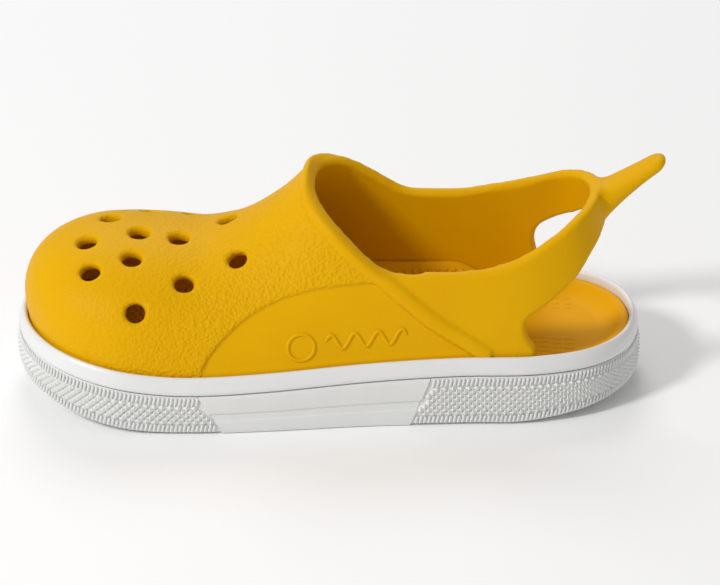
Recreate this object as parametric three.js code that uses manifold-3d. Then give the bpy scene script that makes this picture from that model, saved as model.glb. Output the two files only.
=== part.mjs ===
// Child's moulded clog with a heel strap, left foot. Millimetres, +Z up.
// +X runs from the toe to the heel, -Y is the outer side of the foot.
// The origin lies on the ground, under the front of the ankle opening.
import * as THREE from 'three';
import { mergeVertices } from 'three/addons/utils/BufferGeometryUtils.js';
import Module from 'manifold-3d';

// Driving dimensions
const soleLength = 200;
const soleWidth = 84;
const toeRimHeight = 19.2; // ground to the top of the white rim, at the ball of the foot
const heelRimHeight = 23;
const collarHeight = 76; // ground to the top of the ankle opening's front
const toeSpring = 9; // how far the sole's underside rises at the toe tip
const toeRimRise = 6.6; // how far the rim rises there
const heelBevel = 5.4;
const rimBandHeight = 6;
const rimBandInset = 0.6;
const upperInset = 3.6; // from the sole's outline to the upper's outer face
const upperWall = 4;
const shelfDepth = 4.2; // rim top down to the shelf that the upper stands on
const cupDepth = 9.5; // rim top down to the floor under the footbed
const footbedDrop = 2.2;
const footbedDish = 3.2;
const outsoleThickness = 4.5;
const outsoleWall = 3.2;
const outsoleInset = 0.5;
const bumperThickness = 1.5;
const bumperBottomGap = 0.6;
const treadDepth = 1.8;
const treadWidth = 3;
const treadPitch = 13;
const treadEdge = 8;
const ventDiameter = 6.5;
const beadRadius = 3.2;
const beadProud = 1.1;
const tabLength = 22;
const tabRootWidth = 15;
const tabTipWidth = 8.6;
const tabRootThickness = 9;
const tabTipThickness = 2.8;
const tabPitch = 0.57; // radians
const clearance = 0.3; // between pieces that touch

// How finely the lofts are cut
const halfStations = 30;
const bumperStations = 40;
const wallLevels = 10;
const ventSides = 10;
const leanSteps = 16;

// Outline of the outsole from the heel tip, round the outer side, to the toe
// tip and back: shares of the sole's length and width.
const outlineShares = [
  [0.475, 0.048], [0.455, -0.161], [0.4, -0.304], [0.31, -0.379], [0.175, -0.393],
  [0.025, -0.414], [-0.125, -0.452], [-0.25, -0.47], [-0.37, -0.45], [-0.4575, -0.3415],
  [-0.51, -0.165], [-0.525, 0.048], [-0.5, 0.262], [-0.435, 0.435], [-0.34, 0.519],
  [-0.235, 0.53], [-0.11, 0.482], [0.025, 0.411], [0.16, 0.379], [0.29, 0.395],
  [0.39, 0.39], [0.4525, 0.25],
];

// Height of the upper's ridge line: share of length, share of collarHeight.
// Behind the ankle opening it is only a guide for the walls.
const crestShares = [
  [-0.4, 0.672], [-0.35, 0.686], [-0.29, 0.681], [-0.235, 0.677], [-0.175, 0.717],
  [-0.1, 0.85], [-0.04, 1.02], [0.025, 1.2], [0.125, 1.37], [0.3, 1.45],
];

// Side views of the edges, as shares of length and collarHeight, halfway across
const ankleEdge = [
  [-0.052, 1.2], [-0.0525, 1.08], [-0.0525, 1.0], [-0.051, 0.96], [-0.0457, 0.938],
  [-0.0275, 0.9136], [-0.0109, 0.889], [0.0218, 0.8254], [0.0547, 0.758], [0.0757, 0.7196],
  [0.0945, 0.7035], [0.13, 0.7], [0.168, 0.7025], [0.215, 0.7128], [0.255, 0.733],
  [0.29, 0.7635], [0.33, 0.806], [0.37, 0.857], [0.4, 0.893], [0.435, 0.925], [0.52, 0.95],
];
const strapUnderEdge = [
  [0.3105, 0.366], [0.305, 0.3945], [0.3008, 0.422], [0.298, 0.444], [0.2971, 0.4655],
  [0.2988, 0.487], [0.3035, 0.5026], [0.3125, 0.5232], [0.3245, 0.5444], [0.3398, 0.5683],
  [0.3556, 0.593], [0.3716, 0.6249], [0.3877, 0.6722], [0.4043, 0.719], [0.4132, 0.751],
  [0.422, 0.77], [0.45, 0.785],
];
const beadLine = [
  [-0.075, 1.1], [-0.062, 1.0], [-0.0485, 0.921], [-0.009, 0.838], [0.0365, 0.743],
  [0.07, 0.68], [0.108, 0.596], [0.1575, 0.472], [0.1975, 0.384], [0.23, 0.311],
  [0.262, 0.23],
];
const notch = [0.2971, 0.4655];
const splitTop = [0.251, 0.726];

// Vent holes in plan: shares of length and width
const ventShares = [
  [-0.375, 0.144], [-0.41, -0.044], [-0.402, -0.209], [-0.327, 0.0075], [-0.336, -0.156],
  [-0.328, -0.358], [-0.263, -0.021], [-0.252, -0.255], [-0.188, 0.092], [-0.17, -0.179],
  [-0.3625, 0.325], [-0.3125, 0.26], [-0.2975, 0.455], [-0.2775, 0.375], [-0.222, 0.45],
  [-0.2425, 0.25], [-0.2075, 0.33], [-0.1575, 0.238],
];

const colours = { yellow: 0xe8b400, white: 0xe8e8e6 };

const wasm = await Module();
wasm.setup();

// ---- small tools ----

function clamp01(value) {
  return Math.min(1, Math.max(0, value));
}

function smoothStep(from, to, value) {
  const share = clamp01((value - from) / (to - from));
  return share * share * (3 - 2 * share);
}

// A smooth curve through a table of rows [x, y] that never overshoots them
function along(table, x) {
  const last = table.length - 1;
  const at = Math.min(table[last][0], Math.max(table[0][0], x));
  const slope = (i) => (table[i + 1][1] - table[i][1]) / (table[i + 1][0] - table[i][0]);
  const tangent = (i) => {
    if (i === 0) return slope(0);
    if (i === last) return slope(last - 1);
    const before = slope(i - 1);
    const after = slope(i);
    return before * after <= 0 ? 0 : (2 * before * after) / (before + after);
  };
  let row = 0;
  while (row < last - 1 && at > table[row + 1][0]) row += 1;
  const width = table[row + 1][0] - table[row][0];
  const t = (at - table[row][0]) / width;
  const rise = table[row + 1][1] - table[row][1];
  const startBend = tangent(row) * width - rise;
  const endBend = rise - tangent(row + 1) * width;
  return table[row][1] + rise * t + t * (1 - t) * (startBend * (1 - t) + endBend * t);
}

function resample(points, count) {
  const reach = [0];
  for (let i = 1; i < points.length; i += 1) {
    reach.push(reach[i - 1] + points[i].distanceTo(points[i - 1]));
  }
  const total = reach[reach.length - 1];
  const even = [];
  let row = 0;
  for (let i = 0; i <= count; i += 1) {
    const target = (total * i) / count;
    while (row < points.length - 2 && reach[row + 1] < target) row += 1;
    const share = (target - reach[row]) / (reach[row + 1] - reach[row]);
    even.push(points[row].clone().lerp(points[row + 1], clamp01(share)));
  }
  return even;
}

function toSolid(geometry) {
  const bare = geometry.clone();
  for (const name of Object.keys(bare.attributes)) {
    if (name !== 'position') bare.deleteAttribute(name);
  }
  const merged = mergeVertices(bare, 1e-4);
  return new wasm.Manifold(new wasm.Mesh({
    numProp: 3,
    vertProperties: new Float32Array(merged.attributes.position.array),
    triVerts: new Uint32Array(merged.index.array),
  }));
}

// The body itself, without the flat slivers that a cut can leave behind
function mainBody(solid) {
  return solid.decompose().reduce((best, part) => (part.volume() > best.volume() ? part : best));
}

function toGeometry(solid) {
  const mesh = mainBody(solid).getMesh();
  const geometry = new THREE.BufferGeometry();
  geometry.setAttribute('position', new THREE.BufferAttribute(new Float32Array(mesh.vertProperties), 3));
  geometry.setIndex(new THREE.BufferAttribute(new Uint32Array(mesh.triVerts), 1));
  geometry.computeVertexNormals();
  return geometry;
}

// ---- the sole's outline and heights ----

const outlineCurve = new THREE.CatmullRomCurve3(
  outlineShares.map(([u, w]) => new THREE.Vector3(u * soleLength, w * soleWidth, 0)),
  true,
  'centripetal',
);

// One closed ring: heel tip, outer side, toe tip, inner side. Stations i and
// 2 * half - i face each other across the shoe.
function outlineRing(half) {
  const fine = 600;
  const side = (from) => {
    const points = [];
    for (let i = 0; i <= fine; i += 1) points.push(outlineCurve.getPoint((from + (0.5 * i) / fine) % 1));
    return resample(points, half);
  };
  return [...side(0).slice(0, half), ...side(0.5).slice(0, half)];
}

function insetRing(ring, distance) {
  return ring.map((point, i) => {
    const before = ring[(i + ring.length - 1) % ring.length];
    const after = ring[(i + 1) % ring.length];
    const inward = new THREE.Vector3(after.y - before.y, before.x - after.x, 0).normalize();
    return point.clone().addScaledVector(inward, distance);
  });
}

function toeRise(x) {
  return toeSpring * clamp01((-0.26 - x / soleLength) / 0.263) ** 2;
}

function soleBottom(x) {
  return toeRise(x) + heelBevel * clamp01((x / soleLength - 0.26) / 0.215) ** 1.4;
}

function rimTop(x) {
  const level = smoothStep(-0.25, 0.225, x / soleLength);
  const toe = clamp01((-0.26 - x / soleLength) / 0.263) ** 1.3;
  return toeRimHeight + (heelRimHeight - toeRimHeight) * level + toeRimRise * toe;
}

const partingLine = (x) => rimTop(x) - rimBandHeight;
const shelf = (x) => rimTop(x) - shelfDepth;
const cupFloor = (x) => rimTop(x) - cupDepth;

// ---- lofts ----

// Closed body from rings that all have the same number of points, the first
// ring closed across the shoe below and the last one closed across above.
function stackRings(rings) {
  const count = rings[0].length;
  const half = count / 2;
  const positions = rings.flat().flatMap((p) => [p.x, p.y, p.z]);
  const index = [];
  for (let level = 0; level < rings.length - 1; level += 1) {
    for (let i = 0; i < count; i += 1) {
      const a = level * count + i;
      const b = level * count + ((i + 1) % count);
      index.push(a, b + count, b, a, a + count, b + count);
    }
  }
  const cap = (start, up) => {
    for (let k = 0; k < half; k += 1) {
      const a = start + k;
      const b = start + k + 1;
      const c = start + ((count - k - 1) % count);
      const d = start + ((count - k) % count);
      const faces = [];
      if (k < half - 1) faces.push([a, b, c]);
      if (k > 0) faces.push([a, c, d]);
      for (const [p, q, r] of faces) index.push(...(up ? [p, r, q] : [p, q, r]));
    }
  };
  cap(0, false);
  cap((rings.length - 1) * count, true);
  const geometry = new THREE.BufferGeometry();
  geometry.setAttribute('position', new THREE.Float32BufferAttribute(positions, 3));
  geometry.setIndex(index);
  return geometry;
}

// Body whose wall follows rows of [inset from the outline, height at x]
function profileBody(rows, half = halfStations) {
  const outline = outlineRing(half);
  return toSolid(stackRings(rows.map(([inset, height]) => insetRing(outline, inset).map(
    (p) => new THREE.Vector3(p.x, p.y, height(p.x)),
  ))));
}

// Slab right through the shoe with the given side view, which may lean across the shoe
function sideSlab(points, lean = null) {
  const shape = new THREE.Shape(points.map(([x, z]) => new THREE.Vector2(x, z)));
  const depth = 2 * soleWidth;
  const steps = lean ? leanSteps : 1;
  const geometry = new THREE.ExtrudeGeometry(shape, { depth, steps, bevelEnabled: false });
  geometry.rotateX(Math.PI / 2);
  geometry.translate(0, depth / 2, 0);
  const place = geometry.attributes.position;
  for (let i = 0; lean && i < place.count; i += 1) {
    const shift = lean(place.getX(i), place.getY(i));
    place.setX(i, place.getX(i) + shift.x);
    place.setZ(i, place.getZ(i) + shift.z);
  }
  return toSolid(geometry);
}

const shareToSide = ([u, h]) => [u * soleLength, h * collarHeight];

function smoothEdge(shares, count) {
  const curve = new THREE.SplineCurve(shares.map((row) => new THREE.Vector2(...shareToSide(row))));
  return curve.getPoints(count).map((p) => [p.x, p.y]);
}

// How the edges shift towards the inner side of the foot: the bead, the ankle
// edge, and the strap's under edge with the line that the strap bends along
function beadLean(x, y) {
  const fade = 1 - smoothStep(0.075, 0.3, x / soleLength);
  return { x: 0.13 * y * fade, z: 0.08 * y * fade };
}

function ankleLean(x, y) {
  return { x: beadLean(x, y).x, z: 0.165 * y * (1 - smoothStep(0.22, 0.4, x / soleLength)) };
}

const notchLean = { x: 0.088, z: 0.117 };

function strapLean(x, y) {
  const near = 1 - smoothStep(0.295, 0.325, x / soleLength);
  return { x: notchLean.x * y * near, z: notchLean.z * y * (1 - smoothStep(0.3, 0.43, x / soleLength)) };
}

// ---- upper ----

const lastShape = {
  rise: [[-0.52, 0.75], [-0.3, 0.66], [-0.1, 0.52], [0.025, 0.46], [0.475, 0.45]],
  lean: [[-0.52, -0.2], [-0.45, -0.1], [-0.3, 0], [-0.1, 0.08], [0.1, 0.12], [0.3, 0.14], [0.475, 0.36]],
  crown: [[-0.52, 0.6], [-0.3, 0.6], [-0.1, 0.5], [0.475, 0.5]],
};

// Point of the ridge line that belongs to a pair of stations at x
function crestPoint(x) {
  const u = x / soleLength;
  let held = u;
  if (u < -0.25) held = -0.25 - 0.13 * Math.tanh((-0.25 - u) / 0.17);
  if (u > 0.225) held = 0.225 + 0.09 * Math.tanh((u - 0.225) / 0.15);
  const side = 0.024 + 0.048 * smoothStep(0, -0.4, held);
  const height = along(crestShares, held) * collarHeight;
  return new THREE.Vector3(held * soleLength, side * soleWidth, height);
}

// Sections of the upper's outer face: from the rim, up and over to the ridge
function upperSections(half, levels) {
  const feather = insetRing(outlineRing(half), upperInset);
  return feather.map((foot, i) => {
    const across = feather[(feather.length - i) % feather.length];
    const crest = crestPoint((foot.x + across.x) / 2);
    const start = new THREE.Vector3(foot.x, foot.y, rimTop(foot.x));
    const inward = crest.clone().sub(start).setZ(0);
    const u = foot.x / soleLength;
    const rise = along(lastShape.rise, u) * (crest.z - start.z);
    const low = start.clone().addScaledVector(inward, along(lastShape.lean, u));
    low.z += rise;
    const high = crest.clone().addScaledVector(inward, -along(lastShape.crown, u));
    const curve = new THREE.CubicBezierCurve3(start, low, high, crest);
    return curve.getPoints(levels);
  });
}

// Direction into the shoe at one point of the sections
function inwardAt(sections, i, level) {
  const count = sections.length;
  const levels = sections[i].length - 1;
  const around = sections[(i + 1) % count][level].clone().sub(sections[(i + count - 1) % count][level]);
  const below = sections[i][Math.max(0, level - 1)];
  const above = level < levels ? sections[i][level + 1] : sections[(count - i) % count][levels - 1];
  const inward = around.cross(above.clone().sub(below));
  return inward.length() > 1e-6 ? inward.normalize() : new THREE.Vector3(0, 0, -1);
}

function upperOuterGeometry(sections) {
  const rings = [sections.map(([foot]) => new THREE.Vector3(foot.x, foot.y, shelf(foot.x) + clearance))];
  for (let level = 0; level <= wallLevels; level += 1) rings.push(sections.map((row) => row[level]));
  return stackRings(rings);
}

// The same face moved in by the wall, and down past the wall's lower edge
function upperInnerGeometry(sections) {
  const ring = insetRing(outlineRing(halfStations), upperInset + upperWall);
  const rings = [
    ring.map((p) => new THREE.Vector3(p.x, p.y, shelf(p.x) - upperWall)),
    ring.map((p) => new THREE.Vector3(p.x, p.y, rimTop(p.x))),
  ];
  for (let level = 1; level <= wallLevels; level += 1) {
    rings.push(sections.map((row, i) => row[level].clone().addScaledVector(
      inwardAt(sections, i, level),
      upperWall,
    )));
  }
  return stackRings(rings);
}

// Raised bead along the front of the ankle opening, down to the rim
function collarBead() {
  const fineHalf = 220;
  const fineLevels = 80;
  const sections = upperSections(fineHalf, fineLevels);
  const line = beadLine.map(shareToSide);
  const height = (p) => {
    const lean = beadLean(p.x, p.y);
    return p.z - lean.z - along(line, p.x - lean.x);
  };
  const outer = [];
  const inner = [];
  sections.forEach((row, i) => {
    for (let level = 1; level <= fineLevels; level += 1) {
      const before = height(row[level - 1]);
      const after = height(row[level]);
      if (before >= 0 || after < 0 || row[level].x > line[line.length - 1][0]) continue;
      const point = row[level - 1].clone().lerp(row[level], before / (before - after));
      point.addScaledVector(inwardAt(sections, i, level), beadRadius - beadProud);
      (i <= fineHalf ? outer : inner).push(point);
      break;
    }
  });
  const steps = 30;
  const path = resample([...outer, ...inner], steps);
  const curve = new THREE.CatmullRomCurve3(path, false, 'centripetal');
  const circle = new THREE.Shape().absarc(0, 0, beadRadius, 0, 2 * Math.PI, false);
  return toSolid(new THREE.ExtrudeGeometry(circle, {
    extrudePath: curve, steps, curveSegments: 4, bevelEnabled: false,
  }));
}

function ventHoles(outer) {
  const mesh = new THREE.Mesh(outer, new THREE.MeshBasicMaterial());
  mesh.updateMatrixWorld();
  const ray = new THREE.Raycaster();
  return ventShares.map(([u, w]) => {
    ray.set(new THREE.Vector3(u * soleLength, w * soleWidth, 3 * collarHeight), new THREE.Vector3(0, 0, -1));
    const [hit] = ray.intersectObject(mesh);
    const hole = new THREE.CylinderGeometry(ventDiameter / 2, ventDiameter / 2, 6 * upperWall, ventSides);
    const turn = new THREE.Quaternion().setFromUnitVectors(new THREE.Vector3(0, 1, 0), hit.face.normal);
    hole.applyQuaternion(turn);
    hole.translate(hit.point.x, hit.point.y, hit.point.z);
    return toSolid(hole);
  });
}

// Half of the side view in front of or behind the strap's bending line
function bendSlab(behind) {
  const [foot, top] = [notch, splitTop].map(shareToSide);
  const reach = 6;
  const slope = [top[0] - foot[0], top[1] - foot[1]];
  const shift = (behind ? 0.5 : -0.5) * clearance;
  const low = [foot[0] - reach * slope[0] + shift, foot[1] - reach * slope[1]];
  const high = [foot[0] + reach * slope[0] + shift, foot[1] + reach * slope[1]];
  const far = (behind ? 3 : -3) * soleLength;
  return sideSlab([low, high, [far, high[1]], [far, low[1]]], (x, y) => ({
    x: notchLean.x * y,
    z: notchLean.z * y,
  }));
}

// Pull tab: flat tongue rising backwards from the middle of the strap
function pullTab() {
  const root = new THREE.Vector3(0.405 * soleLength, 0.048 * soleWidth, 0.832 * collarHeight);
  const direction = new THREE.Vector3(Math.cos(tabPitch), 0, Math.sin(tabPitch));
  const up = new THREE.Vector3(-direction.z, 0, direction.x);
  const stations = 12;
  const corners = 16;
  const positions = [];
  const index = [];
  for (let s = 0; s <= stations; s += 1) {
    const t = s / stations;
    const tip = Math.sqrt(Math.max(0.02, 1 - clamp01((t - 0.86) / 0.14) ** 2));
    const halfWidth = 0.5 * THREE.MathUtils.lerp(tabRootWidth, tabTipWidth, t ** 0.6) * tip;
    const thin = tabTipThickness + (tabRootThickness - tabTipThickness) * (1 - t) ** 1.8;
    const centre = root.clone().addScaledVector(direction, t * (tabLength + 4) - 1.5);
    centre.addScaledVector(up, -0.3 * (thin - tabTipThickness));
    for (let c = 0; c < corners; c += 1) {
      const angle = (2 * Math.PI * c) / corners;
      const wide = Math.sign(Math.cos(angle)) * Math.abs(Math.cos(angle)) ** 0.45 * halfWidth;
      const tall = Math.sign(Math.sin(angle)) * Math.abs(Math.sin(angle)) ** 0.45 * 0.5 * thin;
      const p = centre.clone().addScaledVector(up, tall * Math.max(tip, 0.5));
      positions.push(p.x, p.y + wide, p.z);
      const a = s * corners + c;
      const b = s * corners + ((c + 1) % corners);
      if (s < stations) index.push(a, b, b + corners, a, b + corners, a + corners);
    }
  }
  for (let c = 1; c < corners - 1; c += 1) {
    const end = stations * corners;
    index.push(0, c + 1, c, end, end + c, end + c + 1);
  }
  const geometry = new THREE.BufferGeometry();
  geometry.setAttribute('position', new THREE.Float32BufferAttribute(positions, 3));
  geometry.setIndex(index);
  return toSolid(geometry);
}

// Room for the rim round the upper's lower edge
function rimRoom() {
  const over = profileBody([[-1, () => -20], [-1, (x) => rimTop(x) + clearance]]);
  return over.subtract(profileBody([[upperInset, () => -30], [upperInset, () => collarHeight]]));
}

function upperAndStrap() {
  const sections = upperSections(halfStations, wallLevels);
  const outer = upperOuterGeometry(sections);
  const cavity = toSolid(upperInnerGeometry(sections));
  const top = 3 * collarHeight;
  const edge = smoothEdge(ankleEdge, 34);
  const ankle = sideSlab([...edge, [3 * soleLength, edge[edge.length - 1][1]], [3 * soleLength, top],
    [edge[0][0], top]], ankleLean);
  const under = smoothEdge(strapUnderEdge, 22);
  const below = -soleLength;
  const heelGap = sideSlab([[under[0][0], below], ...under, [3 * soleLength, under[under.length - 1][1]],
    [3 * soleLength, below]], strapLean);
  let shell = toSolid(outer).add(collarBead()).subtract(rimRoom()).subtract(cavity);
  shell = shell.subtract(ankle).subtract(heelGap);
  for (const hole of ventHoles(outer)) shell = shell.subtract(hole);
  const front = shell.intersect(bendSlab(false));
  const strap = shell.intersect(bendSlab(true)).add(pullTab().subtract(cavity));
  return { front, strap };
}

// ---- sole pieces ----

function footbedSolid() {
  const edge = upperInset;
  const insideWall = upperInset + upperWall + clearance;
  const lip = (x) => rimTop(x) - footbedDrop;
  const full = profileBody([
    [insideWall, (x) => cupFloor(x) + clearance],
    [insideWall, (x) => shelf(x) + clearance],
    [edge, (x) => shelf(x) + clearance],
    [edge, (x) => lip(x) - 0.8],
    [edge + 0.8, lip],
    [edge + 2.4, lip],
    [edge + 5, (x) => lip(x) - 0.45 * footbedDish],
    [edge + 12, (x) => lip(x) - footbedDish],
  ]);
  const wallRoom = profileBody([
    [-soleWidth / 4, () => -10],
    [-soleWidth / 4, () => collarHeight],
  ]).subtract(profileBody([
    [insideWall, () => -20],
    [insideWall, () => 2 * collarHeight],
  ]));
  const wallEnd = strapUnderEdge[0][0] * soleLength;
  const rear = wallEnd + clearance;
  const front = sideSlab([[-3 * soleLength, -50], [rear, -50], [rear, 3 * collarHeight],
    [-3 * soleLength, 3 * collarHeight]], (x, y) => ({ x: strapLean(wallEnd, y).x, z: 0 }));
  return full.subtract(wallRoom.intersect(front));
}

function midsoleSolid() {
  const body = outsoleInset + outsoleWall + clearance;
  const flange = (x) => partingLine(x) + clearance / 2;
  return profileBody([
    [body, (x) => soleBottom(x) + outsoleThickness + clearance],
    [body, flange],
    [rimBandInset + 0.3, flange],
    [rimBandInset, (x) => flange(x) + 0.5],
    [rimBandInset, (x) => rimTop(x) - 1.9],
    [rimBandInset + 0.5, (x) => rimTop(x) - 0.6],
    [rimBandInset + 1.4, (x) => rimTop(x) + 0.1],
    [rimBandInset + 2.2, rimTop],
    [upperInset - clearance, (x) => rimTop(x) - 0.6],
    [upperInset - clearance, shelf],
    [upperInset + upperWall, shelf],
    [upperInset + upperWall, cupFloor],
  ]);
}

const toeEnd = { top: -0.232, bottom: -0.193 };
const heelEnd = { top: 0.138, bottom: 0.105 };

// Side view of a bumper with its sloping ends, grown by a margin
function bumperSlab(end, toHeel, margin) {
  const grow = toHeel ? -margin : margin;
  const top = end.top * soleLength;
  const bottom = end.bottom * soleLength;
  const tall = partingLine(top);
  const slope = (top - bottom) / tall;
  const far = (toHeel ? 3 : -3) * soleLength;
  const high = 4 * tall;
  return sideSlab([[bottom - slope * tall + grow, -tall], [bottom + slope * high + grow, high],
    [far, high], [far, -tall]]);
}

function bumperBand(outerInset, innerInset, low, high) {
  const outside = profileBody([[outerInset, low], [outerInset, high]], bumperStations);
  const inside = profileBody([[innerInset, (x) => low(x) - 1], [innerInset, (x) => high(x) + 1]],
    bumperStations);
  return outside.subtract(inside);
}

const bumperLow = (x) => soleBottom(x) + bumperBottomGap;
const bumperHigh = (x) => partingLine(x) - clearance / 2;

function bumperSolid(end, toHeel) {
  return bumperBand(0, bumperThickness, bumperLow, bumperHigh).intersect(bumperSlab(end, toHeel, 0));
}

function outsoleSolid() {
  const high = (x) => partingLine(x) - clearance / 2;
  const plate = (x) => soleBottom(x) + outsoleThickness;
  const inner = outsoleInset + outsoleWall;
  let solid = profileBody([
    [outsoleInset + 0.8, soleBottom],
    [outsoleInset, (x) => soleBottom(x) + 0.8],
    [outsoleInset, high],
    [inner, high],
    [inner, plate],
  ], bumperStations);
  const room = bumperBand(-2, bumperThickness + clearance, (x) => bumperLow(x) - clearance,
    (x) => high(x) + 3);
  solid = solid.subtract(room.intersect(bumperSlab(toeEnd, false, clearance)));
  solid = solid.subtract(room.intersect(bumperSlab(heelEnd, true, clearance)));
  return solid.subtract(treadGrooves());
}

// Grooves across the underside, kept clear of its edge and of its middle rib
function treadGrooves() {
  const field = profileBody([
    [treadEdge, (x) => soleBottom(x) - 5],
    [treadEdge, (x) => soleBottom(x) + treadDepth],
  ]);
  const count = Math.floor((0.4 * soleLength) / treadPitch);
  let grooves = null;
  for (let i = -count; i < count; i += 1) {
    const x = (i + 0.5) * treadPitch;
    const slot = sideSlab([[x - treadWidth / 2, -20], [x + treadWidth / 2, -20],
      [x + treadWidth / 2, collarHeight], [x - treadWidth / 2, collarHeight]]);
    grooves = grooves ? grooves.add(slot) : slot;
  }
  return field.intersect(grooves);
}

// ---- the shoe ----

function piece(name, solid, colour, roughness) {
  const material = new THREE.MeshStandardMaterial({ color: colour, roughness, metalness: 0 });
  const mesh = new THREE.Mesh(toGeometry(solid), material);
  mesh.name = name;
  return mesh;
}

const { front, strap } = upperAndStrap();
const clog = new THREE.Group();
clog.add(
  piece('upper', front, colours.yellow, 0.5),
  piece('heel_strap', strap, colours.yellow, 0.5),
  piece('footbed', footbedSolid(), colours.yellow, 0.6),
  piece('midsole', midsoleSolid(), colours.white, 0.45),
  piece('outsole', outsoleSolid(), colours.white, 0.55),
  piece('toe_bumper', bumperSolid(toeEnd, false), colours.white, 0.55),
  piece('heel_bumper', bumperSolid(heelEnd, true), colours.white, 0.55),
);

export default clog;
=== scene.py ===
# Child's moulded clog with a heel strap, left foot: the fine surface and finish around the fixed frame.
# Lengths below are millimetres and are turned to metres where a mesh is made. +X runs from the toe to
# the heel, -Y is the outer side of the foot, +Z is up.
import math
import bmesh
import bpy
import numpy as np
from mathutils import Euler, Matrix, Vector
from mathutils.bvhtree import BVHTree
from mathutils.geometry import tessellate_polygon
from mathutils.kdtree import KDTree


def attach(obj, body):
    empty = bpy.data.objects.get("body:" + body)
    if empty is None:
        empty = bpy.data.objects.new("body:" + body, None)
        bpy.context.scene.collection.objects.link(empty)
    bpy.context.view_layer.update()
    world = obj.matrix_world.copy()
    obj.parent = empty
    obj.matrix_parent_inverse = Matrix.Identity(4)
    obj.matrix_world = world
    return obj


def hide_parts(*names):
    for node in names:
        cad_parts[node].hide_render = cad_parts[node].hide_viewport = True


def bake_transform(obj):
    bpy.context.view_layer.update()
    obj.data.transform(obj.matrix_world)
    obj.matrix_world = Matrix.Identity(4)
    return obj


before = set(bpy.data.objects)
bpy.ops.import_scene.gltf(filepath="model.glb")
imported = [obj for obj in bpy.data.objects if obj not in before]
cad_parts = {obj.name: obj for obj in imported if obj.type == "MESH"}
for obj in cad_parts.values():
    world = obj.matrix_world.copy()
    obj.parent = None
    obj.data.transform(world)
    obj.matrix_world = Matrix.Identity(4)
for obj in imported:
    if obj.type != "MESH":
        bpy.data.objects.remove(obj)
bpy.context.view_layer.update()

MM = 0.001

# Driving dimensions, the same as the solid model's
SOLE_LENGTH = 200
SOLE_WIDTH = 84
TOE_RIM_HEIGHT = 19.2
HEEL_RIM_HEIGHT = 23
COLLAR_HEIGHT = 76
TOE_SPRING = 9
TOE_RIM_RISE = 6.6
HEEL_BEVEL = 5.4
RIM_BAND_HEIGHT = 6
UPPER_INSET = 3.6
UPPER_WALL = 4
SHELF_DEPTH = 4.2
CUP_DEPTH = 9.5
OUTSOLE_THICKNESS = 4.5
OUTSOLE_WALL = 3.2
BUMPER_THICKNESS = 1.5
VENT_DIAMETER = 6.5
CLEARANCE = 0.3
WALL_INSET = 0.5  # the outsole's side wall, in from the outline
TOE_CURVE = (0.26, 0.263)  # start and run of the toe's rise, in sole lengths from the origin
HEEL_CURVE = (0.26, 0.215)  # the same for the heel's bevel

# Surface detail
VOXEL = 0.75  # cell size of the upper's remeshed surface
BEAD_WIDTH = 5.2
BEAD_PROUD = 1.15
PANEL_RECESS = 0.8
RIB_PITCH = 1.35
RIB_RADIUS = 0.45
TOP_RIB_HEIGHT = 3.1
BOTTOM_RIB_HEIGHT = 2.9
DIAMOND_PITCH = 2.55
DIAMOND_PROUD = 1.2
BUMPER_HEIGHT = 14  # rough mean, which turns a rib band's height into a share
RIB_LEAN = 0.25  # sideways run of a rib for each millimetre it rises
ORNAMENT_RADIUS = 0.65
TREAD_DEPTH = 1.8
TREAD_WIDTH = 3
TREAD_PITCH = 13
TREAD_EDGE = 8
LEAN_STEPS = 16
OUTLINE_STEPS = 60  # pieces of curve between two rows of the outline
TOE_ROW = 11  # the outline's row at the toe tip
ARCH_HEIGHT = 9.8
BEAD_ROWS = 2.3  # between the footbed's rows of beads

OUTLINE = np.array([
    (0.475, 0.048), (0.455, -0.161), (0.4, -0.304), (0.31, -0.379), (0.175, -0.393),
    (0.025, -0.414), (-0.125, -0.452), (-0.25, -0.47), (-0.37, -0.45), (-0.4575, -0.3415),
    (-0.51, -0.165), (-0.525, 0.048), (-0.5, 0.262), (-0.435, 0.435), (-0.34, 0.519),
    (-0.235, 0.53), (-0.11, 0.482), (0.025, 0.411), (0.16, 0.379), (0.29, 0.395),
    (0.39, 0.39), (0.4525, 0.25),
]) * (SOLE_LENGTH, SOLE_WIDTH)
SIDE_SCALE = (SOLE_LENGTH, COLLAR_HEIGHT)
CREST = np.array([
    (-0.4, 0.672), (-0.35, 0.686), (-0.29, 0.681), (-0.235, 0.677), (-0.175, 0.717),
    (-0.1, 0.85), (-0.04, 1.02), (0.025, 1.2), (0.125, 1.37), (0.3, 1.45),
]) * SIDE_SCALE
ANKLE_EDGE = np.array([
    (-0.052, 1.2), (-0.0525, 1.08), (-0.0525, 1.0), (-0.051, 0.96), (-0.0457, 0.938),
    (-0.0275, 0.9136), (-0.0109, 0.889), (0.0218, 0.8254), (0.0547, 0.758), (0.0757, 0.7196),
    (0.0945, 0.7035), (0.13, 0.7), (0.168, 0.7025), (0.215, 0.7128), (0.255, 0.733),
    (0.29, 0.7635), (0.33, 0.806), (0.37, 0.857), (0.4, 0.893), (0.435, 0.925), (0.52, 0.95),
]) * SIDE_SCALE
STRAP_UNDER_EDGE = np.array([
    (0.3105, 0.366), (0.305, 0.3945), (0.3008, 0.422), (0.298, 0.444), (0.2971, 0.4655),
    (0.2988, 0.487), (0.3035, 0.5026), (0.3125, 0.5232), (0.3245, 0.5444), (0.3398, 0.5683),
    (0.3556, 0.593), (0.3716, 0.6249), (0.3877, 0.6722), (0.4043, 0.719), (0.4132, 0.751),
    (0.422, 0.77), (0.45, 0.785),
]) * SIDE_SCALE
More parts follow.
